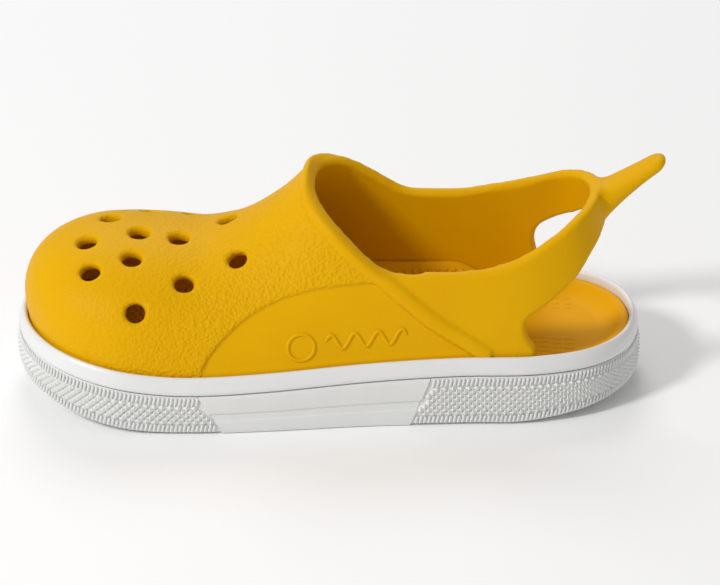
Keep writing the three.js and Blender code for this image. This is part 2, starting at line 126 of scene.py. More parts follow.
BEAD_LINE = np.array([
    (-0.075, 1.1), (-0.062, 1.0), (-0.0485, 0.921), (-0.009, 0.838), (0.0365, 0.743),
    (0.07, 0.68), (0.108, 0.596), (0.1575, 0.472), (0.1975, 0.384), (0.23, 0.311),
    (0.262, 0.23),
]) * SIDE_SCALE
PANEL_ARC = np.array([
    (-0.209, 0.2), (-0.198, 0.332), (-0.183, 0.396), (-0.161, 0.456), (-0.127, 0.522),
    (-0.083, 0.579), (-0.029, 0.621), (0.02, 0.64), (0.06, 0.648),
]) * SIDE_SCALE
NOTCH = np.array((0.2971, 0.4655)) * SIDE_SCALE
SPLIT_TOP = np.array((0.251, 0.726)) * SIDE_SCALE
NOTCH_LEAN = (0.088, 0.117)
VENTS = np.array([
    (-0.375, 0.144), (-0.41, -0.044), (-0.402, -0.209), (-0.327, 0.0075), (-0.336, -0.156),
    (-0.328, -0.358), (-0.263, -0.021), (-0.252, -0.255), (-0.188, 0.092), (-0.17, -0.179),
    (-0.3625, 0.325), (-0.3125, 0.26), (-0.2975, 0.455), (-0.2775, 0.375), (-0.222, 0.45),
    (-0.2425, 0.25), (-0.2075, 0.33), (-0.1575, 0.238),
]) * (SOLE_LENGTH, SOLE_WIDTH)
TOE_END = {"top": -0.232 * SOLE_LENGTH, "bottom": -0.193 * SOLE_LENGTH}
HEEL_END = {"top": 0.138 * SOLE_LENGTH, "bottom": 0.105 * SOLE_LENGTH}
TAB = {"length": 22.8, "root_width": 15.6, "tip_width": 9.8, "root_thickness": 9.6, "tip_thickness": 4.2}
TAB_PITCH = 0.57  # radians above level
TAB_FOOT = 0.425 * SOLE_LENGTH  # behind this only the tab is left


# ---- numbers and curves ----

def smooth_step(low, high, value):
    share = np.clip((np.asarray(value, float) - low) / (high - low), 0, 1)
    return share * share * (3 - 2 * share)


def along(table, x):
    """Smooth curve through rows (x, y) that never overshoots them."""
    xs, ys = table[:, 0], table[:, 1]
    at = np.clip(np.asarray(x, float), xs[0], xs[-1])
    slope = np.diff(ys) / np.diff(xs)
    before, after = slope[:-1], slope[1:]
    with np.errstate(divide="ignore", invalid="ignore"):
        middle = np.where(before * after > 0, 2 * before * after / (before + after), 0)
    tangent = np.concatenate([slope[:1], middle, slope[-1:]])
    row = np.clip(np.searchsorted(xs, at, side="left") - 1, 0, len(xs) - 2)
    width = xs[row + 1] - xs[row]
    rise = ys[row + 1] - ys[row]
    t = (at - xs[row]) / width
    start_bend = tangent[row] * width - rise
    end_bend = rise - tangent[row + 1] * width
    return ys[row] + rise * t + t * (1 - t) * (start_bend * (1 - t) + end_bend * t)


def spline(points, steps, closed=False):
    """Centripetal Catmull-Rom curve through the points, with steps pieces between two of them."""
    count = len(points)
    curve = []
    for i in range(count if closed else count - 1):
        if closed:
            p0, p1, p2, p3 = (points[(i + k - 1) % count] for k in range(4))
        else:
            p1, p2 = points[i], points[i + 1]
            p0 = points[i - 1] if i > 0 else 2 * p1 - p2
            p3 = points[i + 2] if i + 2 < count else 2 * p2 - p1
        t1 = max(1e-4, np.linalg.norm(p1 - p0) ** 0.5)
        t2 = t1 + max(1e-4, np.linalg.norm(p2 - p1) ** 0.5)
        t3 = t2 + max(1e-4, np.linalg.norm(p3 - p2) ** 0.5)
        t = np.linspace(t1, t2, steps, endpoint=False)[:, None]
        a1 = (t1 - t) / t1 * p0 + t / t1 * p1
        a2 = (t2 - t) / (t2 - t1) * p1 + (t - t1) / (t2 - t1) * p2
        a3 = (t3 - t) / (t3 - t2) * p2 + (t - t2) / (t3 - t2) * p3
        b1 = (t2 - t) / t2 * a1 + t / t2 * a2
        b2 = (t3 - t) / (t3 - t1) * a2 + (t - t1) / (t3 - t1) * a3
        curve.append((t2 - t) / (t2 - t1) * b1 + (t - t1) / (t2 - t1) * b2)
    if not closed:
        curve.append(points[-1:])
    return np.concatenate(curve)


def resample(points, count):
    """count + 1 points, evenly spaced along the polyline."""
    reach = reach_along(points)
    target = np.linspace(0, reach[-1], count + 1)
    return at_reach(points, reach, target)


def reach_along(points):
    """Length of the polyline up to each of its points."""
    return np.concatenate([[0], np.cumsum(np.linalg.norm(np.diff(points, axis=0), axis=1))])


def at_reach(points, reach, target):
    return np.stack([np.interp(target, reach, column) for column in points.T], axis=1)


def with_zero(points):
    """Rows (x, y) made (x, y, 0)."""
    return np.column_stack([points, np.zeros(len(points))])


def point_tree(points):
    tree = KDTree(len(points))
    for i, point in enumerate(points):
        tree.insert(point, i)
    tree.balance()
    return tree


# ---- the sole's outline and heights ----

def half_outline(side):
    """Fine polyline from the heel tip (side 0, outer) or back from the toe tip (side 1, inner)."""
    curve = spline(OUTLINE, OUTLINE_STEPS, closed=True)
    middle = TOE_ROW * OUTLINE_STEPS
    return curve[: middle + 1] if side == 0 else np.concatenate([curve[middle:], curve[:1]])


def outline_ring(half):
    """Heel tip, outer side, toe tip, inner side; stations i and 2 * half - i face each other."""
    return np.concatenate([resample(half_outline(side), half)[:half] for side in (0, 1)])


def ring_inward(ring):
    """Unit directions into the shoe at the points of a ring."""
    around = np.roll(ring, -1, axis=0) - np.roll(ring, 1, axis=0)
    inward = np.stack([around[:, 1], -around[:, 0]], axis=1)
    return inward / np.linalg.norm(inward, axis=1)[:, None]


def inset_ring(ring, distance):
    return ring + ring_inward(ring) * np.reshape(distance, (-1, 1))


def outline_normals(ring):
    """Inward directions, taken from a fine outline so that doubled stations keep theirs."""
    fine = outline_ring(1200)
    inward = ring_inward(fine)
    tree = point_tree(with_zero(fine))
    return np.array([inward[tree.find((*p, 0))[1]] for p in ring])


def end_share(x, curve):
    """0 before an end's curve starts and 1 at its tip; x counts towards that end."""
    return np.clip((x / SOLE_LENGTH - curve[0]) / curve[1], 0, 1)


def sole_bottom(x):
    return TOE_SPRING * end_share(-x, TOE_CURVE) ** 2 + HEEL_BEVEL * end_share(x, HEEL_CURVE) ** 1.4


def rim_top(x):
    level = smooth_step(-0.25, 0.225, x / SOLE_LENGTH)
    rise = TOE_RIM_RISE * end_share(-x, TOE_CURVE) ** 1.3
    return TOE_RIM_HEIGHT + (HEEL_RIM_HEIGHT - TOE_RIM_HEIGHT) * level + rise


def parting_line(x):
    return rim_top(x) - RIM_BAND_HEIGHT


# ---- meshes ----

def new_mesh(name, points, faces):
    mesh = bpy.data.meshes.new(name)
    mesh.from_pydata((np.asarray(points, float) * MM).tolist(), [], faces)
    mesh.update()
    return mesh


def new_object(name, data):
    obj = bpy.data.objects.new(name, data)
    bpy.context.scene.collection.objects.link(obj)
    return obj


def stack_rings(rings):
    """Points and faces of a closed body from rings, closed across the shoe at both ends."""
    count = len(rings[0])
    half = count // 2
    faces = []
    for level in range(len(rings) - 1):
        low = level * count
        for i in range(count):
            j = (i + 1) % count
            faces.append((low + i, low + i + count, low + j + count, low + j))

    def cap(start, up):
        for k in range(half):
            corners = [start + k, start + k + 1, start + (count - k - 1) % count, start + (count - k) % count]
            if k == 0:
                corners = corners[:3]
            elif k == half - 1:
                corners = [corners[0], corners[1], corners[3]]
            faces.append(tuple(reversed(corners)) if up else tuple(corners))

    cap(0, False)
    cap((len(rings) - 1) * count, True)
    return np.concatenate(rings), faces


def loft(name, rings, closed=False, cap=None):
    """Closed body through rings of one size; the cap's faces, or one face, shut the ends of an open one."""
    size = len(rings[0])
    faces = []
    for step in range(len(rings) if closed else len(rings) - 1):
        low, high = step * size, (step + 1) % len(rings) * size
        for i in range(size):
            j = (i + 1) % size
            faces.append((low + i, low + j, high + j, high + i))
    for face in [] if closed else cap or [range(size)]:
        faces.append(tuple(reversed(face)))
        faces.append(tuple((len(rings) - 1) * size + i for i in face))
    return recalculated(new_mesh(name, np.concatenate(rings), faces))


def recalculated(mesh, merge=False):
    """The closed mesh with its faces turned outwards; merge first makes coincident points one."""
    grid = bmesh.new()
    grid.from_mesh(mesh)
    if merge:
        bmesh.ops.remove_doubles(grid, verts=grid.verts, dist=1e-7)
    bmesh.ops.recalc_face_normals(grid, faces=grid.faces)
    grid.to_mesh(mesh)
    grid.free()
    return mesh


def bare_copy(obj, name):
    """The evaluated object as a plain mesh; the object itself goes away."""
    depsgraph = bpy.context.evaluated_depsgraph_get()
    mesh = bpy.data.meshes.new_from_object(obj.evaluated_get(depsgraph))
    mesh.name = name
    bpy.data.objects.remove(obj)
    return mesh


def shade_smooth(mesh, crease=None):
    """Smooth shading, kept sharp at edges that turn by more than the crease in degrees."""
    mesh.polygons.foreach_set("use_smooth", np.ones(len(mesh.polygons), bool))
    if crease:
        mesh.set_sharp_from_angle(angle=math.radians(crease))


def mesh_points(mesh):
    points = np.empty(len(mesh.vertices) * 3, np.float32)
    mesh.vertices.foreach_get("co", points)
    return points.reshape(-1, 3).astype(float) / MM


def set_mesh_points(mesh, points):
    mesh.vertices.foreach_set("co", (points * MM).astype(np.float32).ravel())
    mesh.update()


# ---- the upper's outer face ----

# Rows of (x in sole lengths, share): how each section of the face leaves the rim and meets the ridge
RISE = np.array([(-0.52, 0.75), (-0.3, 0.66), (-0.1, 0.52), (0.025, 0.46), (0.475, 0.45)])
LEAN_IN = np.array([
    (-0.52, -0.2), (-0.45, -0.1), (-0.3, 0), (-0.1, 0.08), (0.1, 0.12), (0.3, 0.14), (0.475, 0.36),
])
CROWN = np.array([(-0.52, 0.6), (-0.3, 0.6), (-0.1, 0.5), (0.475, 0.5)])


def crest_points(x):
    """Points of the ridge line that belong to pairs of stations at x."""
    u = x / SOLE_LENGTH
    u = np.where(u < -0.25, -0.25 - 0.13 * np.tanh((-0.25 - u) / 0.17), u)
    u = np.where(u > 0.225, 0.225 + 0.09 * np.tanh((u - 0.225) / 0.15), u)
    side = (0.024 + 0.048 * smooth_step(0, 0.4, -u)) * SOLE_WIDTH
    return np.column_stack([u * SOLE_LENGTH, side, along(CREST, u * SOLE_LENGTH)])


def upper_sections(half, levels):
    """Array (station, level, 3): sections of the outer face from the rim up to the ridge."""
    foot = inset_ring(outline_ring(half), UPPER_INSET)
    across = foot[(-np.arange(2 * half)) % (2 * half)]
    crest = crest_points((foot[:, 0] + across[:, 0]) / 2)
    start = np.column_stack([foot, rim_top(foot[:, 0])])
    inward = (crest - start) * (1, 1, 0)
    u = foot[:, 0] / SOLE_LENGTH
    low = start + inward * along(LEAN_IN, u)[:, None]
    low[:, 2] += along(RISE, u) * (crest[:, 2] - start[:, 2])
    high = crest - inward * along(CROWN, u)[:, None]
    t = np.linspace(0, 1, levels + 1)[None, :, None]
    start, low, high, crest = (p[:, None, :] for p in (start, low, high, crest))
    return (1 - t) ** 3 * start + 3 * (1 - t) ** 2 * t * low + 3 * (1 - t) * t * t * high + t ** 3 * crest


def inward_directions(sections):
    """Direction into the shoe at each point of the sections."""
    count = len(sections)
    around = np.roll(sections, -1, axis=0) - np.roll(sections, 1, axis=0)
    facing = sections[(-np.arange(count)) % count][:, -2:-1]
    above = np.concatenate([sections[:, 1:], facing], axis=1)
    below = np.concatenate([sections[:, :1], sections[:, :-1]], axis=1)
    inward = np.cross(around, above - below)
    length = np.linalg.norm(inward, axis=2, keepdims=True)
    return np.where(length > 1e-6, inward / np.maximum(length, 1e-6), (0, 0, -1))


def bead_lean(x, y):
    """How the bead shifts back and up towards the inner side of the foot."""
    fade = 1 - smooth_step(0.075, 0.3, x / SOLE_LENGTH)
    return 0.13 * y * fade, 0.08 * y * fade


def ankle_lean(x, y):
    return bead_lean(x, y)[0], 0.165 * y * (1 - smooth_step(0.22, 0.4, x / SOLE_LENGTH))


def strap_lean(x, y):
    near = 1 - smooth_step(0.295, 0.325, x / SOLE_LENGTH)
    return NOTCH_LEAN[0] * y * near, NOTCH_LEAN[1] * y * (1 - smooth_step(0.3, 0.43, x / SOLE_LENGTH))


def side_slab(name, edge, lean):
    """Slab right through the shoe with the given side view, which leans across the shoe."""
    edge = np.array(edge, float)
    rings = []
    for y in np.linspace(-1.2 * SOLE_WIDTH, 1.2 * SOLE_WIDTH, LEAN_STEPS + 1):
        dx, dz = lean(edge[:, 0], y)
        rings.append(np.column_stack([edge[:, 0] + dx, np.full(len(edge), y), edge[:, 1] + dz]))
    return loft(name, rings, cap=tessellate_polygon([[Vector((x, z, 0)) for x, z in edge]]))


def cylinder(name, centre, axis, radius, length, sides):
    turn = np.array(Vector((0, 0, 1)).rotation_difference(Vector(axis)).to_matrix())
    angle = np.linspace(0, 2 * math.pi, sides, endpoint=False)
    circle = np.column_stack([radius * np.cos(angle), radius * np.sin(angle), 0 * angle])
    rings = [np.array(centre) + (circle + (0, 0, end * length)) @ turn.T for end in (-0.5, 0.5)]
    return loft(name, rings)


def cut(obj, mesh):
    """The object with the mesh's body taken away."""
    cutter = new_object("cutter", mesh)
    modifier = obj.modifiers.new("cut", "BOOLEAN")
    modifier.operation = "DIFFERENCE"
    modifier.solver = "MANIFOLD"
    modifier.object = cutter
    name = obj.name
    result = bare_copy(obj, name)
    bpy.data.objects.remove(cutter)
    return new_object(name, result)


# ---- the yellow upper with its strap, one moulding ----

def tab_mesh():
    """Pull tab: a flat tongue that rises backwards from the middle of the strap."""
    root = np.array((0.405 * SOLE_LENGTH, 0.048 * SOLE_WIDTH, 0.832 * COLLAR_HEIGHT))
    direction = np.array((math.cos(TAB_PITCH), 0, math.sin(TAB_PITCH)))
    up = np.array((-math.sin(TAB_PITCH), 0, math.cos(TAB_PITCH)))
    angle = np.linspace(0, 2 * math.pi, 48, endpoint=False)
    # a rectangle with rounded corners
    wide, tall = (np.sign(turn) * np.abs(turn) ** 0.45 for turn in (np.cos(angle), np.sin(angle)))
    rings = []
    for t in np.linspace(0, 1, 61):
        tip = math.sqrt(max(0.02, 1 - max(0, (t - 0.86) / 0.14) ** 2))
        half_width = 0.5 * (TAB["root_width"] + (TAB["tip_width"] - TAB["root_width"]) * t ** 0.6) * tip
        thin = TAB["tip_thickness"] + (TAB["root_thickness"] - TAB["tip_thickness"]) * (1 - t) ** 1.8
        # the root is sunk in the strap
        centre = root + direction * (t * (TAB["length"] + 4) - 1.5) - up * 0.3 * (thin - TAB["tip_thickness"])
        ring = centre + np.outer(tall * 0.5 * thin * max(tip, 0.5), up)
        ring[:, 1] += wide * half_width
        rings.append(ring)
    return loft("tab", rings)


def bead_path(sections):
    """Centre line of the raised bead, on the outer face, from foot to foot over the instep."""
    lean_x, lean_z = bead_lean(sections[..., 0], sections[..., 1])
    height = sections[..., 2] - lean_z - along(BEAD_LINE, sections[..., 0] - lean_x)
    crossing = (height[:, :-1] < 0) & (height[:, 1:] >= 0)
    crossing &= sections[:, 1:, 0] < BEAD_LINE[-1, 0]
    points = []
    for i in np.flatnonzero(crossing.any(axis=1)):
        level = int(np.argmax(crossing[i]))
        share = height[i, level] / (height[i, level] - height[i, level + 1])
        points.append(sections[i, level] + share * (sections[i, level + 1] - sections[i, level]))
    return resample(np.array(points), 900)


def nearest_lengths(points, targets):
    """Distance of each point from the nearest target."""
    tree = point_tree(targets)
    return np.array([tree.find(p)[2] for p in points])


def panel_depth(points):
    """1 inside the smooth side panel, 0 on the vamp in front of it and above it."""
    lean_x, lean_z = bead_lean(points[:, 0], points[:, 1])
    x, z = points[:, 0] - lean_x, points[:, 2] - lean_z
    arc = resample(spline(PANEL_ARC, 12), 400)
    gap = nearest_lengths(np.column_stack([x, z, 0 * x]), with_zero(arc))
    height = np.interp(x, arc[:, 0], arc[:, 1], left=-1e3, right=arc[-1, 1])
    return smooth_step(-0.4, 0.45, np.where(z < height, gap, -gap))


def upper_bodies():
    """The upper's sections, and (points, faces) of its outer face and of the space inside it."""
    sections = upper_sections(200, 90)
    foot = sections[:, 0]
    low = np.column_stack([foot[:, :2], rim_top(foot[:, 0]) - SHELF_DEPTH + CLEARANCE])
    moved = sections + UPPER_WALL * inward_directions(sections)
    deep = np.column_stack([moved[:, 0, :2], rim_top(foot[:, 0]) - SHELF_DEPTH - UPPER_WALL])
    outer = stack_rings([low, *sections.swapaxes(0, 1)])
    inner = stack_rings([deep, *moved.swapaxes(0, 1)])
    return sections, outer, inner


def upper_mesh(sections, outer, inner, outer_tree, inner_tree):
    def cavity():
        return recalculated(new_mesh("cavity", *inner), merge=True)

    shell = new_object("upper_shell", recalculated(new_mesh("upper_shell", *outer), merge=True))
    shell = cut(shell, cavity())
    top, far = 3 * COLLAR_HEIGHT, 3 * SOLE_LENGTH
    edge, under = spline(ANKLE_EDGE, 14), spline(STRAP_UNDER_EDGE, 14)
    above = [*edge, (far, edge[-1][1]), (far, top), (edge[0][0], top)]
    behind = [(under[0][0], -far), *under, (far, under[-1][1]), (far, -far)]
    shell = cut(shell, side_slab("ankle", above, ankle_lean))
    shell = cut(shell, side_slab("heel_gap", behind, strap_lean))
    for x, y in VENTS:
        hit, normal, _, _ = outer_tree.ray_cast(Vector((x, y, top)), Vector((0, 0, -1)))
        shell = cut(shell, cylinder("vent", hit, normal, VENT_DIAMETER / 2, 6 * UPPER_WALL, 40))
    tab = cut(new_object("tab", tab_mesh()), cavity())
    mesh = joined([shell, tab], "moulded_upper")
    return finish_upper(mesh, outer_tree, inner_tree, bead_path(sections))


def joined(objects, name):
    """One mesh from several objects, which go away."""
    grid = bmesh.new()
    for obj in objects:
        grid.from_mesh(obj.data)
        bpy.data.objects.remove(obj)
    mesh = bpy.data.meshes.new(name)
    grid.to_mesh(mesh)
    grid.free()
    return mesh


def relaxed(points, edges, factors):
    """Points after one move towards the middle of their neighbours for each factor."""
    ends, others = np.concatenate([edges, edges[:, ::-1]]).T
    degree = np.bincount(ends, minlength=len(points))[:, None]
    for factor in factors:
        total = np.column_stack([np.bincount(ends, column[others], len(points)) for column in points.T])
        points = points + (total / degree - points) * factor
    return points


def finish_upper(mesh, outer_tree, inner_tree, path):
    """Rounds the edges, lays the surface back on its true shape and adds the raised detail."""
    obj = new_object("moulded_upper", mesh)
    remesh = obj.modifiers.new("remesh", "REMESH")
    remesh.mode = "VOXEL"
    remesh.voxel_size = VOXEL * MM
    mesh = bare_copy(obj, "moulded_upper")
    edges = np.empty(2 * len(mesh.edges), np.int32)
    mesh.edges.foreach_get("vertices", edges)
    edges = edges.reshape(-1, 2)
    # plain rounding, then rounding that keeps the volume and only takes the steps away
    points = relaxed(mesh_points(mesh), edges, [0.5] * 5 + [0.5, -0.52] * 14)
    set_mesh_points(mesh, points)
    facing = np.empty(3 * len(points), np.float32)
    mesh.vertices.foreach_get("normal", facing)
    facing = facing.reshape(-1, 3)
    outward = np.zeros_like(points)
    from_outer, hold = np.empty(len(points)), np.empty(len(points))
    for i, p in enumerate(points):
        outer_hit, inner_hit = outer_tree.find_nearest(p), inner_tree.find_nearest(p)
        outward[i], from_outer[i] = outer_hit[1], outer_hit[3]
        target, flat, _, near = outer_hit if outer_hit[3] < inner_hit[3] else inner_hit
        agree = abs(float(facing[i] @ np.array(flat)))
        hold[i] = (1 - smooth_step(0.3, 0.8, near)) * smooth_step(0.88, 0.97, agree)
        points[i] = p + (np.array(target) - p) * hold[i]
    # the cut edges, which nothing holds, run evenly after this; the vents keep more of their shape
    at_vent = nearest_lengths(points * (1, 1, 0), with_zero(VENTS)) < 6
    free = 1 - relaxed(hold[:, None], edges, [0.5] * 3)[:, 0]
    free = smooth_step(0.1, 0.5, free) * np.where(at_vent & (points[:, 0] < -20), 0.25, 1)
    points = relaxed(points, edges, [0.5 * free[:, None]] * 22)
    skin = 1 - smooth_step(0.8, UPPER_WALL - 0.6, from_outer)
    # the pull tab stands away from the outer face and keeps its own surface
    skin = np.where(points[:, 0] > TAB_FOOT, 0, skin)
    bead = nearest_lengths(points, path)
    ridge = np.clip(1 - (bead / (BEAD_WIDTH / 2)) ** 3, 0, 1) ** 0.6
    lean_x, lean_z = bead_lean(points[:, 0], points[:, 1])
    rear = points[:, 2] - lean_z - along(BEAD_LINE, points[:, 0] - lean_x)
    in_front = 1 - smooth_step(-1.0, 1.0, rear)
    # the side panel's recess runs out at its foot, where the wall meets the rim
    panel = panel_depth(points) * in_front * (1 - smooth_step(0, 0.4, ridge))
    panel *= smooth_step(-0.5, 2.5, points[:, 2] - rim_top(points[:, 0]))
    points += outward * (skin * (BEAD_PROUD * ridge - PANEL_RECESS * panel))[:, None]
    set_mesh_points(mesh, points)
    # the mould's grain is coarsest low on the vamp and behind the vents
    coarse = 0.4 + 0.6 * smooth_step(-75, -25, points[:, 0] + 1.2 * (42 - points[:, 2]))
    grain = coarse * skin * in_front * (1 - panel_depth(points)) * (1 - smooth_step(0, 0.5, ridge))
    attribute = mesh.attributes.new("grain", "FLOAT", "POINT")
    attribute.data.foreach_set("value", grain.astype(np.float32))
    shade_smooth(mesh)
    return mesh


# ---- the white sole ----

def rim_mesh():
    """The cup with its rolled rim band, whose body fills the outsole."""
    body = WALL_INSET + OUTSOLE_WALL + CLEARANCE
    shelf, cup = UPPER_INSET - CLEARANCE, UPPER_INSET + UPPER_WALL
    under = RIM_BAND_HEIGHT - CLEARANCE / 2

    def below(drop):
        return lambda x: rim_top(x) - drop

    # (inset, drop below the rim line) from the band's under side, over the roll, to the shelf's edge
    band = [
        (1.3, under), (0.75, under - 0.25), (0.5, under - 0.8), (0.42, under - 1.5),
        (0.5, under - 2.3), (0.68, under - 3.1), (0.82, under - 3.9), (0.98, under - 4.5),
        (1.2, under - 4.95), (1.5, under - 5.4),
        (1.85, -0.02), (2.2, -0.1), (2.6, -0.02), (2.95, 0.18), (3.2, 0.5), (shelf, 0.9),
    ]
    rows = [(body, lambda x: sole_bottom(x) + OUTSOLE_THICKNESS + CLEARANCE), (body, below(under))]
    rows += [(inset, below(drop)) for inset, drop in band]
    rows += [(shelf, below(SHELF_DEPTH)), (cup, below(SHELF_DEPTH)), (cup, below(CUP_DEPTH))]
    outline = outline_ring(200)
    rings = []
    for inset, height in rows:
        ring = inset_ring(outline, inset)
        rings.append(np.column_stack([ring, height(ring[:, 0])]))
    return new_mesh("rim_midsole", *stack_rings(rings))


def end_x(end, share):
    """Where a bumper's sloping end lies at a share of the wall's height."""
    return end["bottom"] + (end["top"] - end["bottom"]) * share


def side_stations(height_share):
    """Ring of stations whose columns follow the bumpers' sloping ends at one height of the wall.

    Returns the points, and for each whether it lies under a bumper."""
    ends = [end_x(HEEL_END, height_share) - CLEARANCE, end_x(TOE_END, height_share) + CLEARANCE]
    ring, covered = [], []
    for side, sign in ((0, -1), (1, 1)):
        curve = half_outline(side)
        reach = reach_along(curve)
        cuts = [np.interp(sign * x, sign * curve[:, 0], reach) for x in ends[::-sign]]
        marks = [0, *cuts, reach[-1]]
        # bumper, panel, bumper
        for part, count in enumerate((60, 70, 60)):
            spots = np.linspace(marks[part], marks[part + 1], count + 1)
            if part == 2:
                spots = spots[:-1]
            ring.append(at_reach(curve, reach, spots))
            covered.append(np.full(len(spots), part != 1))
    return np.concatenate(ring), np.concatenate(covered)


def wall_ring(height_share, panel_inset, pocket_inset):
    """One level of the outsole's wall, with its own inset on the panels and under the bumpers."""
    ring, covered = side_stations(height_share)
    low, high = sole_bottom(ring[:, 0]), parting_line(ring[:, 0]) - CLEARANCE / 2
    inset = np.where(covered, pocket_inset, panel_inset)[:, None]
    return np.column_stack([ring + outline_normals(ring) * inset, low + (high - low) * height_share])


def outsole_mesh():
    pocket = BUMPER_THICKNESS + CLEARANCE
    # (share of the wall's height, inset) of the stepped side panel
    profile = [
        (0.0, 1.1), (0.03, 0.55), (0.07, 0.35), (0.3, 0.25), (0.345, 0.3), (0.36, 0.75), (0.4, 0.85),
        (0.5, 0.85), (0.53, 0.8), (0.55, 0.42), (0.57, 0.36), (0.93, 0.36), (0.97, 0.5), (1.0, 0.9),
    ]
    foot, _ = side_stations(0.0)
    rings = []
    for inset in (12.0, 1.9):  # the flat underside
        moved = foot + outline_normals(foot) * inset
        rings.append(np.column_stack([moved, sole_bottom(moved[:, 0])]))
    rings += [wall_ring(share, inset, max(pocket, inset)) for share, inset in profile]
    top, _ = side_stations(1.0)
    inner = top + outline_normals(top) * (WALL_INSET + OUTSOLE_WALL)
    rings.append(np.column_stack([inner, parting_line(inner[:, 0]) - CLEARANCE / 2]))
    rings.append(np.column_stack([inner, sole_bottom(inner[:, 0]) + OUTSOLE_THICKNESS]))
    shell = new_mesh("outsole_shell", *stack_rings(rings))
    shell = new_object("outsole_shell", recalculated(shell, merge=True))
    for groove in tread_grooves():
        shell = cut(shell, groove)
    mesh = shell.data
    bpy.data.objects.remove(shell)
    shade_smooth(mesh, 30)
    return mesh


def tread_grooves():
    """Bodies of the grooves across the underside, which stop short of its edge."""
    outer, inner = (inset_ring(half_outline(side), TREAD_EDGE) for side in (0, 1))
    count = int(0.4 * SOLE_LENGTH / TREAD_PITCH)
    for i in range(-count, count):
        middle = (i + 0.5) * TREAD_PITCH
        rings = []
        for x in (middle - TREAD_WIDTH / 2, middle + TREAD_WIDTH / 2):
            low, high = point_at_x(outer, x)[1], point_at_x(inner, x)[1]
            rings.append([(x, y, sole_bottom(x) + z) for y, z in
                          ((low, -5), (high, -5), (high, TREAD_DEPTH), (low, TREAD_DEPTH))])
        yield loft("groove", rings)


def bumper_frame(end, at_heel, height_share, count):
    """Points along one bumper's face at a height share, from the outer side's end to the inner side's."""
    cut_x = end_x(end, height_share)
    outer, inner = half_outline(0), half_outline(1)
    if at_heel:
        parts = [outer[outer[:, 0] > cut_x][::-1], inner[inner[:, 0] > cut_x][::-1]]
    else:
        parts = [outer[outer[:, 0] < cut_x], inner[inner[:, 0] < cut_x][1:]]
    return resample(np.concatenate([[point_at_x(outer, cut_x)], *parts, [point_at_x(inner, cut_x)]]), count)


def point_at_x(curve, x):
    order = np.argsort(curve[:, 0])
    return np.array((x, np.interp(x, curve[order, 0], curve[order, 1])))


def bumper_heights(x):
    return sole_bottom(x) + 0.6, parting_line(x) - CLEARANCE / 2


def bumper_mesh(name, end, at_heel):
    # (share of the height, inset) round the strip's section
    back = BUMPER_THICKNESS
    profile = [(0.0, back), (0.0, 1.1), (0.03, 0.9), (0.97, 0.9), (1.0, 1.1), (1.0, back)]
    rows = []
    for share, inset in profile:
        curve = bumper_frame(end, at_heel, share, 220)
        low, high = bumper_heights(curve[:, 0])
        rows.append(np.column_stack([curve + outline_normals(curve) * inset, low + (high - low) * share]))
    mesh = loft(name, np.stack(rows, axis=1))
    shade_smooth(mesh, 30)
    return mesh


# ---- repeated detail, by Geometry Nodes ----

def add_node(tree, kind, settings=None, inputs=None):
    """Adds a node, sets its properties, and sets or links its inputs."""
    node = tree.nodes.new(kind)
    for name, value in (settings or {}).items():
        setattr(node, name, value)
    set_inputs(tree, node, inputs or {})
    return node


def set_inputs(tree, node, inputs):
    for key, value in inputs.items():
        if isinstance(value, bpy.types.NodeSocket):
            tree.links.new(value, node.inputs[key])
        else:
            node.inputs[key].default_value = value


def stud_tree(name, sizes, shape):
    """Tree that sets one small shape on each guide point, turned to the guide's directions."""
    tree = bpy.data.node_groups.new(name, "GeometryNodeTree")
    tree.interface.new_socket("Geometry", in_out="INPUT", socket_type="NodeSocketGeometry")
    for label, value in sizes.items():
        tree.interface.new_socket(label, in_out="INPUT", socket_type="NodeSocketFloat").default_value = value
    tree.interface.new_socket("Material", in_out="INPUT", socket_type="NodeSocketMaterial")
    tree.interface.new_socket("Geometry", in_out="OUTPUT", socket_type="NodeSocketGeometry")
    given = add_node(tree, "NodeGroupInput")
    outward, side = (
        add_node(tree, "GeometryNodeInputNamedAttribute", {"data_type": "FLOAT_VECTOR"}, {"Name": label})
        for label in ("outward", "sideways"))
    turn = add_node(tree, "FunctionNodeAxesToRotation", {"primary_axis": "Z", "secondary_axis": "X"}, {
        "Primary Axis": outward.outputs["Attribute"], "Secondary Axis": side.outputs["Attribute"]})
    stud = shape(tree, given)
    set_down = add_node(tree, "GeometryNodeInstanceOnPoints", None, {
        "Points": given.outputs["Geometry"], "Instance": stud, "Rotation": turn.outputs["Rotation"]})
    real = add_node(tree, "GeometryNodeRealizeInstances", None, {"Geometry": set_down.outputs["Instances"]})
    even = add_node(tree, "GeometryNodeSetShadeSmooth", None, {
        "Geometry": real.outputs["Geometry"], "Shade Smooth": name != "diamond_studs"})
    painted = add_node(tree, "GeometryNodeSetMaterial", None, {
        "Geometry": even.outputs[0], "Material": given.outputs["Material"]})
    add_node(tree, "NodeGroupOutput", None, {"Geometry": painted.outputs["Geometry"]})
    return tree


def diamond_shape(tree, given):
    """Four-sided pyramid with a tiny flat top, corners along and across the row."""
    tip = 0.12 * MM
    cone = add_node(tree, "GeometryNodeMeshCone", {"fill_type": "NONE"}, {
        "Vertices": 4, "Radius Top": tip, "Radius Bottom": given.outputs["Radius"],
        "Depth": given.outputs["Height"]})
    lid = add_node(tree, "GeometryNodeMeshCircle", {"fill_type": "NGON"}, {"Vertices": 4, "Radius": tip})
    raised = add_node(tree, "ShaderNodeCombineXYZ", None, {"Z": given.outputs["Height"]})
    top = add_node(tree, "GeometryNodeTransform", None, {
        "Geometry": lid.outputs["Mesh"], "Translation": raised.outputs["Vector"]})
    both = add_node(tree, "GeometryNodeJoinGeometry")
    tree.links.new(cone.outputs["Mesh"], both.inputs["Geometry"])
    tree.links.new(top.outputs["Geometry"], both.inputs["Geometry"])
    return both.outputs["Geometry"]


